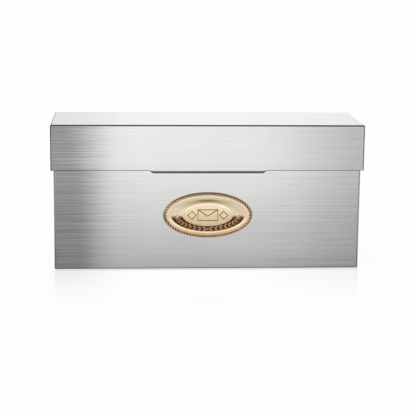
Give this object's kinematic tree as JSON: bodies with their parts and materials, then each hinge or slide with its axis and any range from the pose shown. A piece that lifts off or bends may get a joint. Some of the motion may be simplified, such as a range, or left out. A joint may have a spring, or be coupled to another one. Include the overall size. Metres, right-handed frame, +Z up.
{
  "type": "wall mounted mailbox",
  "caption": "Wide horizontal wall mailbox of folded stainless sheet with a top hinged lid, a finger lip under the lid's skirt and an oval brass plate.",
  "frame": {"origin": "on the wall plane (the back face of the back panel), in the middle of the four wall screw holes", "axes": "+X along the box to the right seen from the front, +Y out of the back into the wall, -Y the front, +Z up"},
  "size_m": [0.4064, 0.1414, 0.19],
  "materials": {
    "brushed_sheet": "stainless sheet with a fine horizontal brushed grain",
    "hinge_steel": "plain rolled stainless",
    "rivets": "dull rivet metal",
    "zinc_hardware": "bright zinc plate",
    "plate_brass": "satin cast brass, light gold",
    "pad_rubber": "matt black"
  },
  "bodies": {
    "box": {"body_wrap": "brushed_sheet", "back_panel": "brushed_sheet", "bottom_panel": "brushed_sheet", "bottom_panel_rivets": "rivets", "back_panel_rivets": "rivets", "hinge_fixed_leaf": "hinge_steel", "hinge_rivets": "rivets", "hinge_pin": "hinge_steel", "oval_plate": "plate_brass", "plate_studs": "plate_brass", "plate_washers": "zinc_hardware", "plate_nuts": "zinc_hardware"},
    "lid": {"lid_shell": "brushed_sheet", "lid_hinge_leaf": "hinge_steel", "lid_finger_lip": "brushed_sheet", "lid_pads": "pad_rubber"}
  },
  "joints": [
    {"name": "lid_hinge", "type": "hinge", "parent": "box", "child": "lid", "pos_m": [0, -0.0048, 0.0915], "axis": [-1, 0, 0], "range_deg": [0, 90]}
  ]
}
